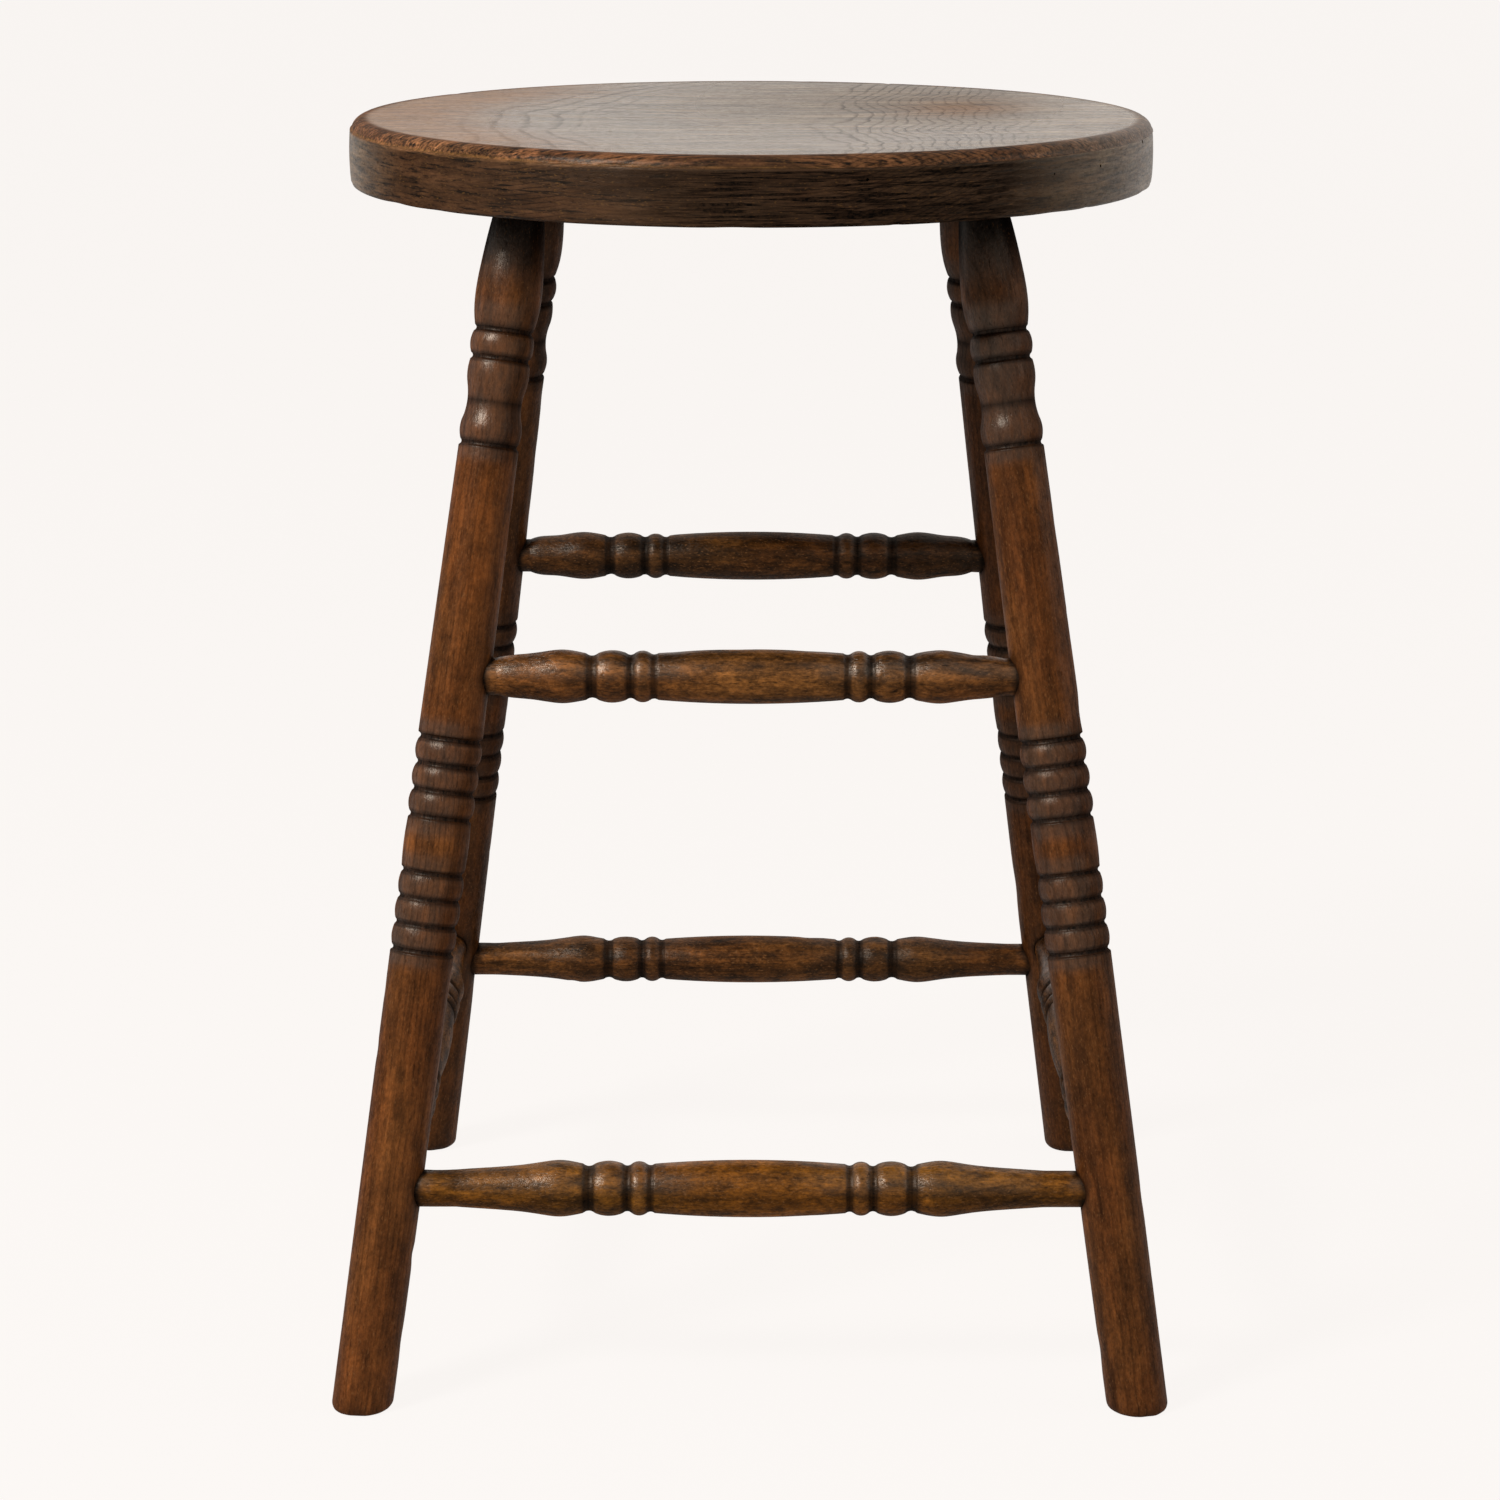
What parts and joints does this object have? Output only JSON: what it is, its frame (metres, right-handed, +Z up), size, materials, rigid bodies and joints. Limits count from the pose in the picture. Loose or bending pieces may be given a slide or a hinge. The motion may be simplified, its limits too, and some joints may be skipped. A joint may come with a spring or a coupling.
{
  "type": "farmhouse stool",
  "caption": "Old wooden stool with a round, gently dished seat on splayed, ring-turned legs, braced front and back and at the sides by turned rungs.",
  "frame": {"origin": "on the floor, under the middle of the seat", "axes": "+Z up; -Y to the front of the stool, +X to the right as seen from the front"},
  "size_m": [0.4094, 0.4316, 0.6101],
  "materials": {
    "seat_wood": "satin",
    "leg_wood": "satin",
    "rung_wood": "satin"
  },
  "bodies": {
    "root": {"seat": "seat_wood", "front_left_leg": "leg_wood", "front_right_leg": "leg_wood", "back_left_leg": "leg_wood", "back_right_leg": "leg_wood", "front_upper_rung": "rung_wood", "front_lower_rung": "rung_wood", "back_upper_rung": "rung_wood", "back_lower_rung": "rung_wood", "left_side_rung": "rung_wood", "right_side_rung": "rung_wood"}
  },
  "joints": []
}
